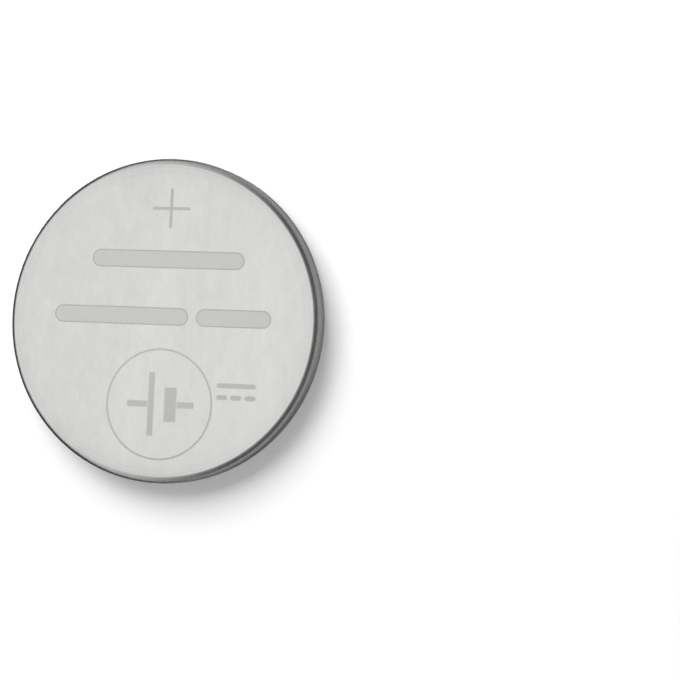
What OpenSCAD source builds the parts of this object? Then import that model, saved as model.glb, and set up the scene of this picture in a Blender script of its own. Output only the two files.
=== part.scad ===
// Lithium coin cell, 20 mm across and 2.5 mm thick, lying on its negative side.
// Origin at the middle of the negative contact face, +Z out through the positive face.

/* [Cell] */
// Outside diameter of the positive can
cell_d = 20; // [14:0.5:24]
// Height over the two contact faces
cell_h = 2.5; // [2.2:0.1:3.2]

/* [Positive can] */
// Sheet thickness of the can
can_t = 0.25; // [0.2:0.01:0.3]
// Outside radius of the bend between the positive face and the wall
can_corner_r = 0.45; // [0.35:0.01:0.6]
// Outside radius of the wall's rolled-over edge
crimp_r = 1.1; // [0.95:0.05:1.2]
// Width of the rolled-over edge, from the wall to its cut end
crimp_w = 0.72; // [0.66:0.02:0.8]
// How far the rolled edge stays behind the negative contact face
crimp_setback = 0.25; // [0.22:0.01:0.35]

/* [Negative cap] */
// Sheet thickness of the cap
cap_t = 0.25; // [0.2:0.01:0.3]
// Radial distance from the can's outside to the cap's raised wall
rim_w = 1.1; // [1.04:0.02:1.3]
// Outside radius of the cap's rounded shoulder
cap_shoulder_r = 0.54; // [0.4:0.02:0.56]
// Outside radius of the inner corner where the cap steps out under the gasket
cap_step_r = 0.1; // [0.06:0.01:0.12]

/* [Dimples in the negative contact face] */
// Distance between neighbouring dimples
dimple_pitch = 0.7; // [0.6:0.05:1.2]
// Diameter of a dimple at the surface
dimple_d = 0.28; // [0.16:0.02:0.36]
// Depth of a dimple
dimple_depth = 0.09; // [0.05:0.01:0.14]
// Plain border between the dimples' edges and the shoulder
dimple_border = 0.02; // [0.02:0.02:1]

/* [Gasket] */
// Gasket between the can's wall and the cap's skirt
gasket_wall_t = 0.3; // [0.24:0.01:0.34]
// Gasket between the skirt's end and the inside of the positive face
gasket_foot_t = 0.3; // [0.2:0.02:0.4]
// Gasket squeezed between the rolled edge and the cap's step
gasket_top_t = 0.2; // [0.18:0.01:0.3]
// Gasket on the inner side of the skirt
gasket_lip_t = 0.2; // [0.1:0.02:0.3]
// How far that inner lip runs along the skirt
gasket_lip_h = 0.45; // [0.2:0.05:0.5]
// How deep the gasket lies in the groove, behind the rolled edge
groove_depth = 0.17; // [0.1:0.01:0.2]
// Diameter of the bead that the crimp squeezes up in the groove
bead_d = 0.2; // [0.12:0.02:0.26]
// Distance from the bead to the cut end of the rolled edge
bead_gap = 0.03; // [0.02:0.01:0.08]

/* [Electrodes] */
// Thickness of the lithium disc
lithium_t = 0.5; // [0.3:0.05:0.6]
// Radial room between the lithium and the edge of the contact face
lithium_gap = 0.36; // [0.1:0.02:1]
// Thickness of the separator
separator_t = 0.15; // [0.1:0.01:0.2]
// Height of the separator's turned-up rim
separator_rim_h = 1; // [0.4:0.05:1.2]
// Outside radius of the separator's bend
separator_bend_r = 0.25; // [0.22:0.01:0.4]
// Radial room between the cathode ring and the separator's rim
separator_gap = 0.05; // [0.03:0.01:0.1]
// Sheet thickness of the cathode ring
ring_t = 0.1; // [0.06:0.01:0.15]
// Height of the cathode ring round the pellet
ring_h = 0.7; // [0.4:0.05:0.8]
// Width of the ring's foot under the pellet
ring_foot_w = 0.8; // [0.4:0.1:1.2]
// Radial room between the cap's wall and the cathode ring
ring_gap = 0.65; // [0.5:0.05:1.2]
// Bevel round the pellet's edge at the separator
pellet_bevel = 0.1; // [0.05:0.01:0.2]

/* [Hidden] */

$fn = 96;
dimple_sides = 16;
overcut = 0.02;

// Can: radii from the axis and heights above the negative contact face
can_r = cell_d / 2;
can_floor_z = cell_h - can_t;
crimp_bore_r = can_r - crimp_w;
crimp_bend_z = crimp_setback + crimp_r;

// Cap: it steps out under the rolled edge and its skirt stops short of the can's floor
cap_r = can_r - rim_w;
contact_r = cap_r - cap_shoulder_r;
step_z = crimp_setback + can_t + gasket_top_t;
skirt_r = can_r - can_t - gasket_wall_t;
skirt_bend_r = skirt_r - cap_r - cap_step_r;
skirt_end_z = can_floor_z - gasket_foot_t;
dimple_field_r = contact_r - dimple_border - dimple_d / 2;

// Gasket
groove_z = crimp_setback + groove_depth;
bead_r = bead_d / 2;
gasket_bore_r = skirt_r - cap_t - gasket_lip_t;

// Electrodes, stacked from the cap up to the can's floor
lithium_r = contact_r - lithium_gap;
separator_z = cap_t + lithium_t;
pellet_z = separator_z + separator_t;
ring_r = cap_r - cap_t - ring_gap;
separator_r = ring_r + separator_gap + separator_t;
pellet_r = ring_r - ring_t;
ring_foot_r = pellet_r - ring_foot_w;

// Half sections, drawn with the radius along X and the height along Y

module strip(r0, z0, r1, z1) {
    translate([r0, z0]) square([r1 - r0, z1 - z0]);
}

// Quarter disc: quarter 0 opens to the upper right, 1 to the upper left, 3 to the lower right
module quarter(r, z, radius, which) {
    translate([r, z]) intersection() {
        circle(radius);
        rotate(90 * which) square(radius);
    }
}

// The can's outer form, or the room inside it where inset is the sheet's thickness
module can_form(inset) {
    strip(0, crimp_bend_z, can_r - inset, cell_h - can_corner_r);
    strip(0, cell_h - can_corner_r, can_r - can_corner_r, cell_h - inset);
    quarter(can_r - can_corner_r, cell_h - can_corner_r, can_corner_r - inset, 0);
    strip(0, crimp_setback + inset, can_r - crimp_r, crimp_bend_z);
    quarter(can_r - crimp_r, crimp_bend_z, crimp_r - inset, 3);
}

module can_section() {
    difference() {
        can_form(0);
        can_form(can_t);
        strip(0, 0, crimp_bore_r, crimp_bend_z);
    }
}

// The cap's outer form up to end_z, or the room inside it
module cap_form(inset, end_z) {
    bend_r = skirt_r - skirt_bend_r;
    strip(0, inset, contact_r, cap_shoulder_r);
    quarter(contact_r, cap_shoulder_r, cap_shoulder_r - inset, 3);
    strip(0, cap_shoulder_r, cap_r - inset, end_z);
    difference() {
        strip(cap_r - inset, step_z - cap_step_r, bend_r, end_z);
        quarter(bend_r, step_z - cap_step_r, cap_step_r + inset, 1);
    }
    quarter(bend_r, step_z + skirt_bend_r, skirt_bend_r - inset, 3);
    strip(bend_r, step_z + skirt_bend_r, skirt_r - inset, end_z);
}

module cap_section() {
    difference() {
        cap_form(0, skirt_end_z);
        cap_form(cap_t, cell_h);
    }
}

// The gasket fills the room between can and cap, takes the skirt in its channel
// and shows a bead in the groove round the cap
module gasket_section() {
    difference() {
        union() {
            intersection() {
                can_form(can_t);
                strip(cap_r, groove_z, can_r, cell_h);
            }
            strip(cap_r, groove_z, crimp_bore_r, step_z);
            translate([crimp_bore_r - bead_gap - bead_r, groove_z]) circle(bead_r);
        }
        cap_form(0, skirt_end_z);
        strip(0, skirt_end_z, gasket_bore_r, cell_h);
    }
    difference() {
        strip(gasket_bore_r, skirt_end_z - gasket_lip_h, skirt_r - cap_t, skirt_end_z);
        cap_section();
    }
}

module separator_form(inset, end_z) {
    bend_r = separator_r - separator_bend_r;
    strip(0, separator_z + inset, bend_r, end_z);
    quarter(bend_r, separator_z + separator_bend_r, separator_bend_r - inset, 3);
    strip(bend_r, separator_z + separator_bend_r, separator_r - inset, end_z);
}

module separator_section() {
    difference() {
        separator_form(0, separator_z + separator_rim_h);
        separator_form(separator_t, cell_h);
    }
}

module ring_section() {
    strip(pellet_r, can_floor_z - ring_h, ring_r, can_floor_z);
    strip(ring_foot_r, can_floor_z - ring_t, pellet_r, can_floor_z);
}

// The pellet sits in the ring, its edge bevelled at the separator
module pellet_section() {
    difference() {
        polygon([
            [0, pellet_z],
            [pellet_r - pellet_bevel, pellet_z],
            [pellet_r, pellet_z + pellet_bevel],
            [pellet_r, can_floor_z],
            [0, can_floor_z]
        ]);
        ring_section();
    }
}

// Pieces

module positive_can() {
    color([0.80, 0.80, 0.79]) rotate_extrude() can_section();
}

module gasket() {
    color([0.12, 0.12, 0.13]) rotate_extrude() gasket_section();
}

module dimple() {
    cone_r = dimple_d / 2 * (dimple_depth + overcut) / dimple_depth;
    translate([0, 0, -overcut])
        cylinder(h = dimple_depth + overcut, r1 = cone_r, r2 = 0, $fn = dimple_sides);
}

// The dimples stand in a square lattice, with flat metal left at the very centre
module negative_cap() {
    rows = ceil(dimple_field_r / dimple_pitch);
    places = [for (i = [0.5 - rows : rows - 0.5]) i * dimple_pitch];
    color([0.83, 0.83, 0.82]) difference() {
        rotate_extrude() cap_section();
        for (x = places, y = places)
            if (norm([x, y]) <= dimple_field_r) translate([x, y]) dimple();
    }
}

module lithium_anode() {
    color([0.70, 0.71, 0.74])
        translate([0, 0, cap_t]) cylinder(h = lithium_t, r = lithium_r);
}

module separator() {
    color([0.95, 0.94, 0.90]) rotate_extrude() separator_section();
}

module cathode_pellet() {
    color([0.16, 0.15, 0.15]) rotate_extrude() pellet_section();
}

module cathode_ring() {
    color([0.72, 0.72, 0.71]) rotate_extrude() ring_section();
}

positive_can();
gasket();
negative_cap();
lithium_anode();
separator();
cathode_pellet();
cathode_ring();
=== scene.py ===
import math

import bmesh
import bpy
from mathutils import Matrix, Vector


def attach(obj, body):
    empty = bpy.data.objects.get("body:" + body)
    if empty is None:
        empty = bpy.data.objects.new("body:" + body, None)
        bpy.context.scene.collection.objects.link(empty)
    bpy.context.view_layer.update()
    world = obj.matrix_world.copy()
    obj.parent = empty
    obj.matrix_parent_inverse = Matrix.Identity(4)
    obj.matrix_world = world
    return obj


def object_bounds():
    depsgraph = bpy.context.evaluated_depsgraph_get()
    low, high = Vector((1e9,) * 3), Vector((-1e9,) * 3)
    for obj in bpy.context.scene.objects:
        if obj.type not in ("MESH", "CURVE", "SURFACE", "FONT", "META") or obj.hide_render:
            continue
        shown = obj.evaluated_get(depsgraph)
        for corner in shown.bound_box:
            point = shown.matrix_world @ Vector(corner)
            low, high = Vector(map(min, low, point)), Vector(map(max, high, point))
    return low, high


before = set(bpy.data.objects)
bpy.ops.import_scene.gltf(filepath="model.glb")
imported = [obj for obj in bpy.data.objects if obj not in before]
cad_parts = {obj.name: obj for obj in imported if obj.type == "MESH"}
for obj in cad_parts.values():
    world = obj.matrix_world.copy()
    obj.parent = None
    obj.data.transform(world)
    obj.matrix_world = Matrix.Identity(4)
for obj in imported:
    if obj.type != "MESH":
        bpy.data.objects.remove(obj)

cad_low, cad_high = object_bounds()


# The camera
# It looks down on the positive face of the cell, a little from the right, from about 137 mm away.
# The marks are turned slightly clockwise in the picture, so the camera is rolled the other way.
mm = 0.001
camera_place = Vector((45.0, -6.0, 130.0)) * mm
camera_aim = Vector((10.7, -0.7, 0.0)) * mm
camera_roll = math.radians(2.73)
film_width = 36
lens_length = 116.47
nearest_seen = 10 * mm
farthest_seen = 5


def set_up(name, data):
    """Puts an object made of the given data in the scene, at the origin."""
    thing = bpy.data.objects.new(name, data)
    bpy.context.scene.collection.objects.link(thing)
    return thing


towards_camera = (camera_place - camera_aim).normalized()
level = Vector((0, 1, 0)).cross(towards_camera).normalized()
upright = towards_camera.cross(level)
right = level * math.cos(camera_roll) + upright * math.sin(camera_roll)
up = towards_camera.cross(right)

camera_data = bpy.data.cameras.new("camera")
camera_data.sensor_width = film_width
camera_data.lens = lens_length
camera_data.clip_start = nearest_seen
camera_data.clip_end = farthest_seen
camera = set_up("camera", camera_data)
camera_turn = Matrix((right, up, towards_camera)).transposed().to_4x4()
camera.matrix_world = Matrix.Translation(camera_place) @ camera_turn
bpy.context.scene.camera = camera
bpy.context.scene.view_settings.view_transform = "Standard"


# The table top
# A plain white surface that the cell lies on. It is clear from below and ends under the cell's contact
# face, where it can't be seen from above, so that the face is lit and shows from below.
class Value:
    """A socket that takes part in sums: each operator adds a Math node to the same finish."""

    def __init__(self, finish, socket):
        self.finish = finish
        self.socket = socket

    def sum(self, operation, *others):
        """One Math node that works on this value and the others."""
        return self.finish.add("Math", {"operation": operation}, dict(enumerate((self, *others))))

    def vector(self, operation, *others):
        """One Vector Math node that works on this vector and the others."""
        return self.finish.add("VectorMath", {"operation": operation}, dict(enumerate((self, *others))))

    def along(self, axis):
        """The X, Y or Z of a place."""
        return self.finish.add("SeparateXYZ", {}, {0: self}, output=axis)

    def __add__(self, other):
        return self.sum("ADD", other)

    def __sub__(self, other):
        return self.sum("SUBTRACT", other)

    def __rsub__(self, other):
        return self.finish.add("Math", {"operation": "SUBTRACT"}, {0: other, 1: self})

    def __mul__(self, other):
        return self.sum("MULTIPLY", other)

    __radd__ = __add__
    __rmul__ = __mul__

    def rise(self, start, end):
        """Goes smoothly from 0 at start to 1 at end."""
        return self.finish.add("MapRange", {"interpolation_type": "SMOOTHSTEP"},
                               {"Value": self, "From Min": start, "From Max": end})

    def band(self, start, full, fading, end):
        """Goes smoothly from 0 at start to 1 at full, and down again from fading to end."""
        return self.rise(start, full) * (1 - self.rise(fading, end))


class Finish:
    """The nodes of one material or of the world, begun empty."""

    def __init__(self, owner):
        owner.use_nodes = True
        self.tree = owner.node_tree
        self.tree.nodes.clear()

    def add(self, kind, settings=None, sockets=None, output=0):
        """Adds one node: first its settings, then the values or links of its sockets by name or number."""
        node = self.tree.nodes.new("ShaderNode" + kind)
        for name, setting in (settings or {}).items():
            setattr(node, name, setting)
        for name, value in (sockets or {}).items():
            if isinstance(name, int):
                socket = node.inputs[name]
            else:
                socket = next(s for s in node.inputs if s.name == name and s.enabled)
            if isinstance(value, Value):
                self.tree.links.new(value.socket, socket)
            elif socket.type == "RGBA" and len(value) == 3:
                socket.default_value = (*value, 1)
            else:
                socket.default_value = value
        if isinstance(output, str):
            return Value(self, node.outputs[output])
        enabled = [s for s in node.outputs if s.enabled]
        return Value(self, enabled[output]) if enabled else None

    def seen(self):
        """1 for what the camera sees by itself, in metal or through glass, and 0 for light on its way."""
        rays = ("Is Camera Ray", "Is Glossy Ray", "Is Transmission Ray")
        straight, in_metal, through = [self.add("LightPath", output=ray) for ray in rays]
        return straight + in_metal + through


def set_up_shape(name, shape):
    """Puts a finished shape in the scene."""
    mesh = bpy.data.meshes.new(name)
    shape.to_mesh(mesh)
    shape.free()
    return set_up(name, mesh)


table_radius = 600 * mm
table_hole = 8.2 * mm

# To the camera the table is white. A little glow lifts the cell's shadow, and from one distance to the
# next the table goes over into the white surroundings.
table_white = 0.95
table_lift = 0.20
sweep_edge = (26 * mm, 42 * mm)

# In the steel the table is darker: grey close round the cell and dark further out, more so on its left,
# before it turns white far off. A last tone, a painted shadow, lies tucked in under the rim, on the lit
# side.
table_in_steel = 0.52
left_in_steel = 0.05
right_in_steel = 0.33
tucked_in_steel = 0.22
dark_edge = (11 * mm, 13 * mm)
tucked_edge = (11 * mm, 10.3 * mm)
side_blend = 8 * mm
sweep_edge_in_steel = (40 * mm, 120 * mm)

shape = bmesh.new()
bmesh.ops.create_circle(shape, cap_ends=False, radius=table_hole, segments=96)
rim = bmesh.ops.extrude_edge_only(shape, edges=shape.edges[:])
outer = [v for v in rim["geom"] if isinstance(v, bmesh.types.BMVert)]
bmesh.ops.scale(shape, vec=Vector((1, 1, 1)) * (table_radius / table_hole), verts=outer)
bmesh.ops.recalc_face_normals(shape, faces=shape.faces[:])
if shape.faces[0].normal.z < 0:
    bmesh.ops.reverse_faces(shape, faces=shape.faces[:])
table_top = set_up_shape("table_top", shape)

table_paint = bpy.data.materials.new("table_white")
paint = Finish(table_paint)
seen = paint.seen()
in_metal = paint.add("LightPath", output="Is Glossy Ray")
place = paint.add("TexCoord", output="Object")
distance = place.vector("LENGTH")
on_left = place.along("X").rise(side_blend, -side_blend)
on_lit_side = place.along("Y").rise(-side_blend, side_blend)
dark = right_in_steel - (right_in_steel - left_in_steel) * on_left
# A painted shadow under the rim on the lit side, seen only in the steel
tucked = distance.rise(*tucked_edge) * on_lit_side
darker = (table_in_steel - dark) * distance.rise(*dark_edge) + (table_in_steel - tucked_in_steel) * tucked
tone = table_white - in_metal * ((table_white - table_in_steel) + darker)
tone_colour = paint.add("CombineColor", {}, {0: tone, 1: tone, 2: tone})
matt = paint.add("BsdfDiffuse", {}, {"Color": tone_colour})
lift = paint.add("Emission", {}, {"Strength": table_lift * (seen - in_metal)})
near = paint.add("AddShader", {}, {0: matt, 1: lift})
white = paint.add("Emission", {}, {"Strength": 1.0})
far = distance.rise(*sweep_edge) * (seen - in_metal) + distance.rise(*sweep_edge_in_steel) * in_metal
top_side = paint.add("MixShader", {}, {"Fac": far, 1: near, 2: white})
under_side = paint.add("BsdfTransparent")
from_below = paint.add("NewGeometry", output="Backfacing")
both = paint.add("MixShader", {}, {"Fac": from_below, 1: top_side, 2: under_side})
paint.add("OutputMaterial", {}, {"Surface": both})
table_top.data.materials.append(table_paint)


# The studio light
# White surroundings light the cell softly from all sides, and a soft box stands high above the plus sign, a
# little to the left. Cards that only the metal sees give its bends their bands: two low dark ones close
# round the rim, right and left, three pale ones far off, and one below for the underside's dimples.
surroundings_glow = 0.24
box_size = 600 * mm
box_distance = 800 * mm
box_share = 0.77
box_bearing = math.radians(112)
box_height = math.radians(52)
card_columns = 24
card_rows = 14
low_card_radius = 230 * mm
low_card_depth = 500 * mm

world = bpy.data.worlds.new("white_surroundings")
air = Finish(world)
strength = surroundings_glow + (1 - surroundings_glow) * air.seen()
glow = air.add("Background", {}, {"Color": (1, 1, 1), "Strength": strength})
air.add("OutputWorld", {}, {"Surface": glow})
bpy.context.scene.world = world

box_towards = Vector((math.cos(box_bearing) * math.cos(box_height),
                      math.sin(box_bearing) * math.cos(box_height), math.sin(box_height)))
box_data = bpy.data.lights.new("soft_box", "AREA")
box_data.shape = "SQUARE"
box_data.size = box_size
# The power at which a white table would show the box's share of full white
box_data.energy = box_share * math.pi ** 2 * box_distance ** 2 / math.sin(box_height)
soft_box = set_up("soft_box", box_data)
soft_box.location = box_towards * box_distance
soft_box.rotation_mode = "QUATERNION"
soft_box.rotation_quaternion = box_towards.to_track_quat("Z", "Y")
soft_box.visible_camera = False
soft_box.visible_glossy = False


def stand_card(name, glow, shown, shape):
    """Puts up a card that shows in metal alone, glowing where it is shown and clear elsewhere."""
    paint = bpy.data.materials.new(name)
    card = Finish(paint)
    dim = card.add("Emission", {}, {"Strength": glow})
    clear = card.add("BsdfTransparent")
    surface = card.add("MixShader", {}, {"Fac": shown(card), 1: clear, 2: dim})
    card.add("OutputMaterial", {}, {"Surface": surface})
    stand = set_up_shape(name, shape)
    stand.data.materials.append(paint)
    stand.visible_camera = False
    stand.visible_diffuse = False
    stand.visible_shadow = False


def curved_card(name, glow, radius, middle, full, reach, bottom, top):
    """Stands a card that curves round the cell and over it, with soft edges. Its middle lies at a bearing,
    it is full up to one angle from there and ends at the next. Its bottom edge goes from clear to full
    between two heights, given as angles, and its top edge from full to clear."""
    shape = bmesh.new()
    low, high = math.radians(bottom[0]), math.radians(top[1])
    heights = [low + (high - low) * i / card_rows for i in range(card_rows + 1)]
    row = [shape.verts.new((radius * math.cos(a), 0, radius * math.sin(a))) for a in heights]
    edges = [shape.edges.new(pair) for pair in zip(row, row[1:])]
    start = Matrix.Rotation(math.radians(middle - reach), 3, "Z")
    bmesh.ops.rotate(shape, cent=(0, 0, 0), matrix=start, verts=row)
    bmesh.ops.spin(shape, geom=row + edges, cent=(0, 0, 0), axis=(0, 0, 1), angle=math.radians(2 * reach),
                   steps=card_columns, use_merge=False)

    def shown(card):
        place = card.add("TexCoord", output="Object")
        turned = card.add("Mapping", {}, {"Vector": place, "Rotation": (0, 0, math.radians(-middle))})
        bearing = turned.along("Y").sum("ARCTAN2", turned.along("X"))
        beside = bearing.sum("ABSOLUTE").rise(math.radians(full), math.radians(reach))
        levels = [radius * math.sin(math.radians(angle)) for angle in (*bottom, *top)]
        return (1 - beside) * turned.along("Z").band(*levels)

    stand_card(name, glow, shown, shape)


curved_card("dark_card", glow=0.10, radius=13 * mm, middle=-10, full=48, reach=142,
            bottom=(9, 13), top=(27, 41))
curved_card("foot_card", glow=0.50, radius=700 * mm, middle=-12, full=72, reach=150,
            bottom=(0.5, 1), top=(6, 26))
curved_card("top_card", glow=0.75, radius=680 * mm, middle=95, full=25, reach=50,
            bottom=(0.5, 1), top=(26, 38))
curved_card("grey_card", glow=0.80, radius=720 * mm, middle=175, full=40, reach=75,
            bottom=(42, 50), top=(56, 66))
curved_card("left_card", glow=0.04, radius=13.2 * mm, middle=180, full=50, reach=85,
            bottom=(3, 6), top=(13, 20))

shape = bmesh.new()
bmesh.ops.create_circle(shape, cap_ends=True, radius=low_card_radius, segments=48)
bmesh.ops.translate(shape, vec=(0, 0, -low_card_depth), verts=shape.verts[:])
stand_card("low_card", 0.35, lambda card: 1.0, shape)


# The positive can
# Deep-drawn from nickel-plated stainless sheet, its edge rolled in over the gasket. The face keeps the
# sheet's satin finish with a faint rolling grain and a soft slanted band of painted sheen, and the wall has
# the fine lines of drawing and rolling.
def in_millimetres(finish, stretch=(1, 1, 1), turn=0):
    """The place on a piece in millimetres, stretched for a pattern that runs along one direction."""
    place = finish.add("TexCoord", output="Object")
    scale = [share / mm for share in stretch]
    rotation = (0, 0, math.radians(turn))
    return finish.add("Mapping", {}, {"Vector": place, "Rotation": rotation, "Scale": scale})


def noise(finish, stretch=(1, 1, 1), turn=0, size=1.0, detail=3, roughness=0.6):
    """Cloudy noise about 0 for a pattern whose patches are some size millimetres across."""
    place = in_millimetres(finish, stretch, turn)
    cloud = finish.add("TexNoise", {}, {"Vector": place, "Scale": 1 / size, "Detail": detail,
                                        "Roughness": roughness})
    return cloud - 0.5


def scaled(finish, vector, factor):
    """A colour made lighter or darker, or a direction made longer or shorter."""
    return finish.add("VectorMath", {"operation": "SCALE"}, {0: vector, "Scale": factor})


def turned_normal(finish, outwards, upwards):
    """The way a turned surface faces, from its shares away from the axis and up, so that reflections run
    evenly round its bends. A cut edge or a dimple, which faces another way, keeps the mesh's own normal."""
    away = in_millimetres(finish, (1, 1, 0)).vector("NORMALIZE")
    rising = finish.add("CombineXYZ", {}, {"Z": upwards})
    turned = scaled(finish, away, outwards).vector("ADD", rising).vector("NORMALIZE")
    own = finish.add("NewGeometry", output="Normal")
    alike = turned.vector("DOT_PRODUCT", own).rise(0.90, 0.95)
    return finish.add("Mix", {"data_type": "VECTOR"}, {"Factor": alike, "A": own, "B": turned})


def complete(finish, colour, rough, relief, relief_height, normal=None, metallic=1.0, sheen=0.0):
    """Ends a finish with its colour, its roughness and its fine relief, whose height is in millimetres.
    It is bare metal unless told otherwise."""
    sockets = {"Strength": 1.0, "Distance": relief_height * mm, "Height": relief}
    if normal:
        sockets["Normal"] = normal
    bump = finish.add("Bump", {}, sockets)
    body = finish.add("BsdfPrincipled", {}, {"Metallic": metallic, "Base Color": colour, "Roughness": rough,
                                             "Sheen Weight": sheen, "Normal": bump})
    finish.add("OutputMaterial", {}, {"Surface": body})


def dress(name, material):
    """Gives a solid of the frame its finish."""
    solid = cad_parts[name]
    solid.data.materials.clear()
    solid.data.materials.append(material)


can_colour = (0.703, 0.703, 0.695)
face_z = cad_high.z / mm
can_radius = cad_high.x / mm
corner_radius = 0.45
roll_radius = 1.1
roll_setback = 0.25
wall_bottom = roll_setback + roll_radius
wall_top = face_z - corner_radius
wall_blend = (wall_bottom + 0.30, wall_bottom + 0.40)
face_blend = (face_z - 0.01, face_z - 0.20)
painted_sheen_middle = -0.7
painted_sheen_reach = 2.6

# Painted shade in a ring near the face's edge, where a shallow ring left by the press would darken the
# steel, a thin painted dark line outside it in place of a reflection, and the wall's bare cut end at the
# groove, as distances from the axis
painted_ring_shade_edges = (8.90, 9.15, 9.25, 9.45)
painted_dark_line_edges = (9.38, 9.45, 9.45, 9.54)
cut_end_edge = (9.36, 9.30)
cut_end_height = (0.60, 0.54)

can_steel = bpy.data.materials.new("can_steel_satin")
steel = Finish(can_steel)
height = in_millimetres(steel).along("Z")
radius = in_millimetres(steel, (1, 1, 0)).vector("LENGTH")
above_wall = height - wall_top
below_wall = height - wall_bottom
upwards = above_wall.sum("MAXIMUM", 0) + below_wall.sum("MINIMUM", 0)
on_wall = height.rise(*wall_blend)
past_bend = radius - (can_radius - roll_radius) - (roll_radius - corner_radius) * on_wall
normal = turned_normal(steel, past_bend.sum("MAXIMUM", 0), upwards)

on_bend = height.rise(*face_blend)
on_face = 1 - on_bend
round_lines = noise(steel, (0.08, 0.08, 3.6), detail=1)
drawn_lines = noise(steel, (1.2, 1.2, 0.2), detail=1)
wall_lines = (0.8 * round_lines + 0.35 * drawn_lines) * on_bend
sheet_bands = noise(steel, (0.24, 0.02, 0.1), turn=3, detail=2)
clouds = noise(steel, size=2.9, roughness=0.55)
grain = noise(steel, (3.6, 0.25, 1), turn=8, detail=1)
mottle = noise(steel, (1, 0.5, 1), turn=8, size=0.8, detail=2, roughness=0.85)
# A soft slanted band of painted sheen across the face, lightest along its middle line
off_painted_sheen = in_millimetres(steel, turn=12).along("X") - painted_sheen_middle
sheen = off_painted_sheen.sum("ABSOLUTE").rise(painted_sheen_reach, 0)
# Painted shade in a ring near the face's edge, and a thin painted dark line outside it
painted_ring_shade = radius.band(*painted_ring_shade_edges)
painted_dark_line = radius.band(*painted_dark_line_edges)
cut_end = radius.rise(*cut_end_edge) * height.rise(*cut_end_height)

sheet_and_painted_sheen = 0.04 * grain + 0.20 * mottle + 0.09 * sheet_bands + 0.03 * sheen
shade = (1 + 0.06 * clouds + sheet_and_painted_sheen * on_face + 0.28 * wall_lines
         - 0.03 * painted_ring_shade - 0.09 * painted_dark_line + 0.08 * cut_end)
rough = (0.31 + 0.10 * clouds + 0.06 * grain + 0.14 * mottle + 0.18 * wall_lines
         - 0.07 * on_bend + 0.12 * cut_end)
relief = 3.0 * wall_lines + (0.30 * grain + 0.20 * mottle) * on_face
complete(steel, scaled(steel, can_colour, shade), rough, relief, 0.0016, normal)
dress("positive_can", can_steel)


# The marks on the positive face
# A plus sign and plain signs for a cell and for direct current, etched into the steel by laser. The beam
# leaves a matt, slightly darker field of fine slanted lines, and burns a darker line round the wide ones.
mark_bottom = face_z - 0.010
mark_top = face_z + 0.006
hatch_pitch = 0.125
hatch_turn = 52
outline_width = 0.075
sign_colour = (0.625, 0.625, 0.619)
field_colour = (0.705, 0.705, 0.698)
outline_colour = (0.56, 0.56, 0.554)


def etched(name, colour):
    """Steel marked by the laser, in one slanted line beside the other."""
    material = bpy.data.materials.new(name)
    steel = Finish(material)
    across = in_millimetres(steel, turn=hatch_turn).along("X")
    hatch = across.sum("PINGPONG", hatch_pitch / 2) * (2 / hatch_pitch)
    wobble = noise(steel, (5, 5, 1))
    burnt = hatch.rise(0.25, 0.85)
    shade = 1 - 0.20 * burnt + 0.10 * wobble
    rough = 0.46 + 0.14 * burnt + 0.08 * wobble
    complete(steel, scaled(steel, colour, shade), rough, hatch, 0.003)
    return material


sign_steel = etched("sign_steel", sign_colour)
field_steel = etched("field_steel", field_colour)
outline_steel = etched("outline_steel", outline_colour)


def bar(drawing, x, y, length, width):
    """Draws a flat bar with square corners round a place."""
    corners = bmesh.ops.create_grid(drawing, x_segments=1, y_segments=1, size=0.5)["verts"]
    bmesh.ops.scale(drawing, vec=(length, width, 1), verts=corners)
    bmesh.ops.translate(drawing, vec=(x, y, 0), verts=corners)


def round_bar(drawing, x, y, length, width):
    """Draws a flat bar with round ends round a place, from a disc whose halves are moved apart."""
    disc = bmesh.ops.create_circle(drawing, cap_ends=True, radius=width / 2, segments=40)["verts"]
    for side in (1, -1):
        half = [v for v in disc if v.co.x * side > 0]
        bmesh.ops.translate(drawing, vec=(side * (length - width) / 2, 0, 0), verts=half)
    bmesh.ops.translate(drawing, vec=(x, y, 0), verts=disc)


def etch(name, drawing, *steels):
    """Gives a flat drawing its thickness and sets it in the face. A second steel is for a line round its
    edge."""
    if len(steels) > 1:
        outline = bmesh.ops.inset_region(drawing, faces=drawing.faces[:], thickness=outline_width,
                                         use_boundary=True, use_even_offset=True)
        for face in outline["faces"]:
            face.material_index = 1
    plate = bmesh.ops.extrude_face_region(drawing, geom=drawing.faces[:])
    top = [v for v in plate["geom"] if isinstance(v, bmesh.types.BMVert)]
    bmesh.ops.translate(drawing, vec=(0, 0, mark_top - mark_bottom), verts=top)
    bmesh.ops.translate(drawing, vec=(0, 0, mark_bottom), verts=drawing.verts[:])
    bmesh.ops.scale(drawing, vec=(mm, mm, mm), verts=drawing.verts[:])
    bmesh.ops.recalc_face_normals(drawing, faces=drawing.faces[:])
    mark = set_up_shape(name, drawing)
    for steel in steels:
        mark.data.materials.append(steel)
    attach(mark, "root")


plus_x, plus_y = 0.27, 6.89
plus_span = 2.42
plus_stroke = 0.19
drawing = bmesh.new()
bmesh.ops.create_grid(drawing, x_segments=1, y_segments=1, size=plus_stroke / 2)
for edge in drawing.edges[:]:
    outwards = (edge.verts[0].co + edge.verts[1].co).normalized()
    arm = bmesh.ops.extrude_edge_only(drawing, edges=[edge])
    tip = [v for v in arm["geom"] if isinstance(v, bmesh.types.BMVert)]
    bmesh.ops.translate(drawing, vec=outwards * (plus_span - plus_stroke) / 2, verts=tip)
bmesh.ops.translate(drawing, vec=(plus_x, plus_y, 0), verts=drawing.verts[:])
etch("plus_sign", drawing, sign_steel)

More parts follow.
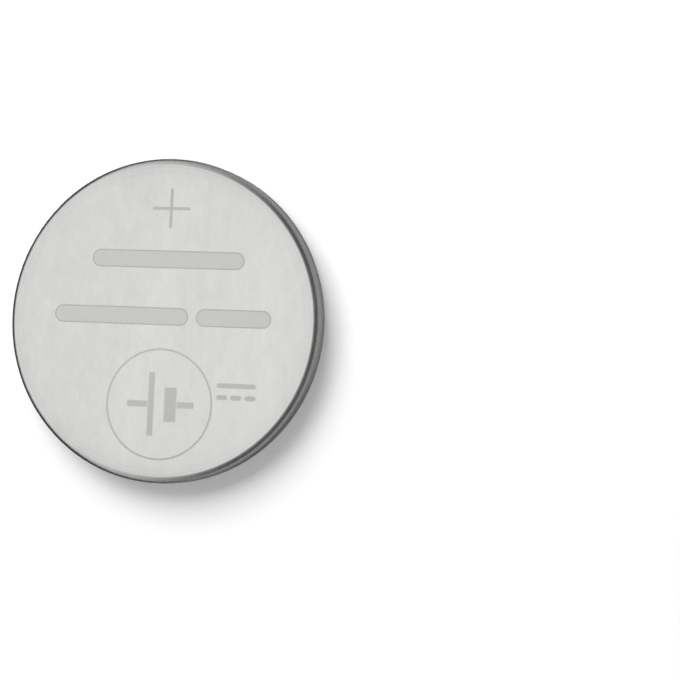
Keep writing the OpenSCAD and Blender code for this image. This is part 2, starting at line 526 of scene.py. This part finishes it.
ring_x, ring_y = 0.10, -5.15
ring_radius = 3.37
ring_stroke = 0.12
ring_outside = ring_radius + ring_stroke / 2
ring_inside = ring_radius - ring_stroke / 2
drawing = bmesh.new()
bmesh.ops.create_circle(drawing, cap_ends=False, radius=ring_outside, segments=120)
inner = bmesh.ops.extrude_edge_only(drawing, edges=drawing.edges[:])
inner_edge = [v for v in inner["geom"] if isinstance(v, bmesh.types.BMVert)]
bmesh.ops.scale(drawing, vec=Vector((1, 1, 1)) * (ring_inside / ring_outside), verts=inner_edge)
bmesh.ops.translate(drawing, vec=(ring_x, ring_y, 0), verts=drawing.verts[:])
etch("ring_sign", drawing, sign_steel)

plate_gap = 0.34
lead_gap = 0.05
lead_stroke = 0.38
drawing = bmesh.new()
for side, plate, plate_length, lead in ((-1, 0.38, 3.9, 1.30), (1, 0.76, 2.1, 1.08)):
    plate_x = ring_x + side * (plate_gap + plate / 2)
    lead_x = ring_x + side * (plate_gap + plate + lead_gap + lead / 2)
    bar(drawing, plate_x, ring_y, plate, plate_length)
    bar(drawing, lead_x, ring_y, lead, lead_stroke)
etch("cell_sign", drawing, sign_steel)

current_x, current_y = 5.0, -4.21
current_stroke = 0.30
current_rise = 0.36
line_length = 2.5
dash_length = 0.70
dash_pitch = 0.9
drawing = bmesh.new()
round_bar(drawing, current_x, current_y + current_rise, line_length, current_stroke)
for dash in (-1, 0, 1):
    dash_x = current_x + dash * dash_pitch
    round_bar(drawing, dash_x, current_y - current_rise, dash_length, current_stroke)
etch("direct_current_sign", drawing, sign_steel)

field_width = 1.1
drawing = bmesh.new()
round_bar(drawing, x=0.22, y=3.75, length=9.85, width=field_width)
etch("upper_field", drawing, field_steel, outline_steel)
drawing = bmesh.new()
round_bar(drawing, x=-2.65, y=0.24, length=8.7, width=field_width)
round_bar(drawing, x=4.6, y=0.24, length=4.8, width=field_width)
etch("middle_field", drawing, field_steel, outline_steel)


# The gasket
# A moulded black plastic ring squeezed between can and cap, wet with a thin film of sealant. Only its bead
# shows, in the groove round the cap.
gasket_colour = (0.022, 0.022, 0.024)

gasket_black = bpy.data.materials.new("gasket_black")
plastic = Finish(gasket_black)
flow_lines = noise(plastic, (0.6, 0.6, 9))
film = noise(plastic, size=0.8)
lint = noise(plastic, size=0.07, detail=2).rise(0.17, 0.26)
shade = 1 + 0.5 * flow_lines + 1.4 * lint
rough = 0.40 + 0.35 * film + 0.20 * lint
relief = flow_lines + 0.4 * film
complete(plastic, scaled(plastic, gasket_colour, shade), rough, relief, 0.004, metallic=0)
dress("gasket", gasket_black)


# The negative cap
# Pressed from nickel-plated stainless sheet and left bright. The press coins a lattice of small dimples in
# its flat face, each with a slightly raised rim, and draws fine lines over the shoulder. The dimples are
# darkened with painted shade.
cap_colour = (0.76, 0.76, 0.75)
contact_radius = 8.36
shoulder_radius = 0.54
dimple_pitch = 0.7
dimple_radius = 0.14
dimple_edge = (dimple_radius - 0.02, dimple_radius + 0.01)
dimple_lip = (dimple_radius + 0.08, dimple_radius)
dimpled_edge = (8.3, 8.0)
dimpled_height = (0.16, 0.10)
shoulder_blend = (0.02, 0.12)

cap_steel = bpy.data.materials.new("cap_steel_bright")
steel = Finish(cap_steel)
height = in_millimetres(steel).along("Z")
flat_place = in_millimetres(steel, (1, 1, 0))
radius = flat_place.vector("LENGTH")
past_face = radius - contact_radius
below_side = height - shoulder_radius
normal = turned_normal(steel, past_face.sum("MAXIMUM", 0), below_side.sum("MINIMUM", 0))

lattice_corner = flat_place.vector("SNAP", (dimple_pitch, dimple_pitch, 1))
from_corner = flat_place.vector("SUBTRACT", lattice_corner)
from_dimple = from_corner.vector("SUBTRACT", (dimple_pitch / 2, dimple_pitch / 2, 0))
off_dimple = from_dimple.vector("LENGTH")
on_face = height.rise(*dimpled_height) * radius.rise(*dimpled_edge)
in_dimple = (1 - off_dimple.rise(*dimple_edge)) * on_face
lip = off_dimple.rise(*dimple_lip) * (1 - in_dimple) * on_face
on_shoulder = height.rise(*shoulder_blend)
round_lines = noise(steel, (0.10, 0.10, 4.5), detail=1)
drawn_lines = noise(steel, (1.5, 1.5, 0.3), detail=1)
wall_lines = (0.8 * round_lines + 0.4 * drawn_lines) * on_shoulder
clouds = noise(steel, size=2.4, roughness=0.55)
grain = noise(steel, (0.4, 8, 1), turn=-5, detail=4)

flat_grain = grain * (1 - on_shoulder)
# The dimples are darkened with painted shade
shade = 1 + 0.06 * clouds + 0.04 * flat_grain + 0.22 * wall_lines - 0.34 * in_dimple + 0.04 * lip
rough = 0.27 + 0.10 * clouds + 0.05 * grain + 0.16 * wall_lines + 0.18 * in_dimple - 0.05 * lip
relief = wall_lines + 0.3 * flat_grain + 2.5 * lip
complete(steel, scaled(steel, cap_colour, shade), rough, relief, 0.0018, normal)
dress("negative_cap", cap_steel)


# The lithium disc
# Soft silvery foil punched out and pressed on the inside of the cap. It shows the rollers' lines and the
# first dull grey patches of tarnish.
lithium_colour = (0.60, 0.61, 0.64)

lithium_foil = bpy.data.materials.new("lithium_foil")
foil = Finish(lithium_foil)
rolled = noise(foil, (7, 0.5, 1), turn=-20, detail=4)
tarnish = noise(foil, size=2.2, detail=5, roughness=0.62).rise(0.02, 0.14)
pits = noise(foil, size=0.22)
shade = 1 + 0.12 * rolled - 0.28 * tarnish + 0.10 * pits
rough = 0.42 + 0.14 * rolled + 0.20 * tarnish
complete(foil, scaled(foil, lithium_colour, shade), rough, rolled + 0.6 * pits, 0.004)
dress("lithium_anode", lithium_foil)


# The separator
# White non-woven cloth of fine plastic fibres, pressed into a dish round the cathode and soaked with
# electrolyte. The fibres lie in all directions and bunch into a faint cloudy pattern.
cloth_colour = (0.84, 0.83, 0.79)
fibre_turns = (12, 58, 101, 152)

separator_cloth = bpy.data.materials.new("separator_cloth")
cloth = Finish(separator_cloth)
fibres = None
for turn in fibre_turns:
    strands = noise(cloth, (1.1, 16, 9), turn=turn, detail=2)
    ridge = 1 - strands.sum("ABSOLUTE") * 5
    fibres = fibres.sum("MAXIMUM", ridge) if fibres else ridge
bunches = noise(cloth, size=1.3, detail=4)
shade = 0.86 + 0.14 * fibres + 0.10 * bunches
rough = 0.82 + 0.12 * bunches
relief = fibres + 0.6 * bunches
complete(cloth, scaled(cloth, cloth_colour, shade), rough, relief, 0.012, metallic=0, sheen=0.15)
dress("separator", separator_cloth)


# The cathode pellet
# Manganese dioxide and carbon powder pressed into a tablet. It is matt black, with visible grains, a few
# brighter flakes of graphite and small chips out of its surface.
powder_colour = (0.030, 0.028, 0.027)
grain_density = 11.0

cathode_powder = bpy.data.materials.new("cathode_powder")
powder = Finish(cathode_powder)
place = in_millimetres(powder)
grains = powder.add("TexVoronoi", {}, {"Vector": place, "Scale": grain_density}, output="Distance")
flakes = noise(powder, size=0.09, detail=2).rise(0.16, 0.24)
chips = noise(powder, size=0.7, detail=5, roughness=0.7)
shade = 0.85 + 0.5 * grains + 2.2 * flakes + 0.5 * chips
rough = 0.78 - 0.35 * flakes + 0.15 * chips
relief = chips - 0.5 * grains
complete(powder, scaled(powder, powder_colour, shade), rough, relief, 0.015, metallic=0)
dress("cathode_pellet", cathode_powder)


# The cathode ring
# A thin ring drawn from plain stainless strip, which holds the pellet's edge and touches the can. It has
# the lines of the drawing die round it and small smears of black powder from the pellet.
ring_colour = (0.60, 0.60, 0.59)

ring_steel = bpy.data.materials.new("ring_steel_plain")
steel = Finish(ring_steel)
die_lines = noise(steel, (0.2, 0.2, 18))
smears = noise(steel, (1, 1, 2.5), size=0.9, detail=5, roughness=0.65).rise(0.05, 0.17)
shade = 1 + 0.20 * die_lines - 0.55 * smears
rough = 0.36 + 0.18 * die_lines + 0.28 * smears
complete(steel, scaled(steel, ring_colour, shade), rough, die_lines, 0.002)
dress("cathode_ring", ring_steel)
